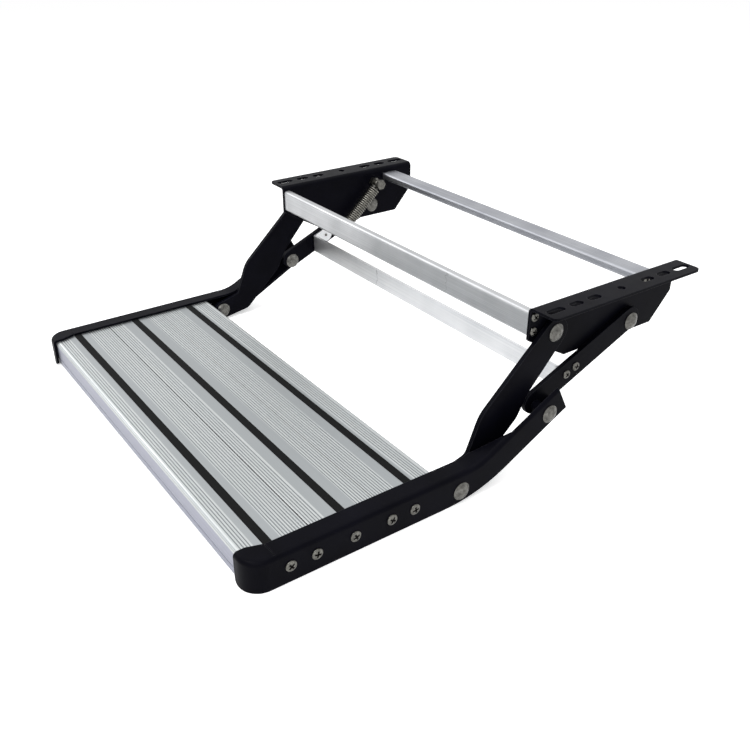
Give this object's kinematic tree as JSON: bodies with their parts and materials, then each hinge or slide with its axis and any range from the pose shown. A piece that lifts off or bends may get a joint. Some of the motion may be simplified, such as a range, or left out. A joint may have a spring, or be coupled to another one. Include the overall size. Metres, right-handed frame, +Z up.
{
  "type": "caravan entry step",
  "caption": "Folding entry step for a caravan door: ribbed aluminium tread on side arms, hung by swinging links and a tension spring from slotted floor brackets.",
  "frame": {"origin": "upper face of the fixing flanges, midway between the brackets, level with the round hole in each flange", "axes": "+X to the right seen from the front, +Y back under the caravan, +Z up"},
  "size_m": [0.56, 0.5681, 0.176],
  "materials": {
    "black_steel": "satin black powder coat",
    "bar_aluminium": "mill finish",
    "tread_aluminium": "ribbed, anodised",
    "grip_rubber": "matt",
    "rivet_steel": "zinc plated",
    "screw_steel": "zinc plated",
    "washer_steel": "zinc plated",
    "spring_steel": "bright"
  },
  "bodies": {
    "frame": {"left_bracket": "black_steel", "right_bracket": "black_steel", "front_cross_bar": "bar_aluminium", "rear_cross_bar": "bar_aluminium", "front_bar_screws": "screw_steel", "rear_bar_screws": "screw_steel", "front_pivot_rivets": "rivet_steel", "front_pivot_washers": "washer_steel", "rear_pivot_rivets": "rivet_steel", "rear_pivot_washers": "washer_steel", "spring_bolt": "screw_steel", "spring_bolt_nuts": "screw_steel"},
    "front_links": {"left_front_link": "black_steel", "right_front_link": "black_steel"},
    "rear_links": {"left_rear_link": "black_steel", "right_rear_link": "black_steel", "lower_cross_bar": "bar_aluminium", "lower_bar_screws": "screw_steel", "rear_link_studs": "rivet_steel", "spring_stud": "rivet_steel"},
    "step": {"left_side_arm": "black_steel", "right_side_arm": "black_steel", "front_tread_plank": "tread_aluminium", "middle_tread_plank": "tread_aluminium", "rear_tread_plank": "tread_aluminium", "front_grip_strip": "grip_rubber", "middle_grip_strip": "grip_rubber", "rear_grip_strip": "grip_rubber", "tread_screws": "screw_steel", "front_step_rivets": "rivet_steel", "front_step_spacers": "black_steel", "rear_step_rivets": "rivet_steel", "rear_step_spacers": "black_steel"},
    "spring": {"tension_spring": "spring_steel"}
  },
  "joints": [
    {"name": "front_link_swing", "type": "hinge", "parent": "frame", "child": "front_links", "pos_m": [0, -0.079, -0.034], "axis": [1, 0, 0], "range_deg": [0, 96]},
    {"name": "rear_link_swing", "type": "hinge", "parent": "frame", "child": "rear_links", "pos_m": [0, 0.04, -0.054], "axis": [1, 0, 0], "range_deg": [0, 134.7]},
    {"name": "spring_swing", "type": "hinge", "parent": "frame", "child": "spring", "pos_m": [0, 0.0419, -0.0185], "axis": [1, 0, 0], "range_deg": [0, 90.8], "deforming": ["tension_spring"]},
    {"name": "step_tilt", "type": "hinge", "parent": "front_links", "child": "step", "pos_m": [0, -0.217, -0.162], "axis": [1, 0, 0], "range_deg": [-97.3, 0]}
  ],
  "couplings": [
    {"joint": "rear_link_swing", "follows": "front_link_swing", "ratio": 1.4025},
    {"joint": "step_tilt", "follows": "front_link_swing", "ratio": -1.0124},
    {"joint": "spring_swing", "follows": "front_link_swing", "ratio": 0.94538}
  ]
}
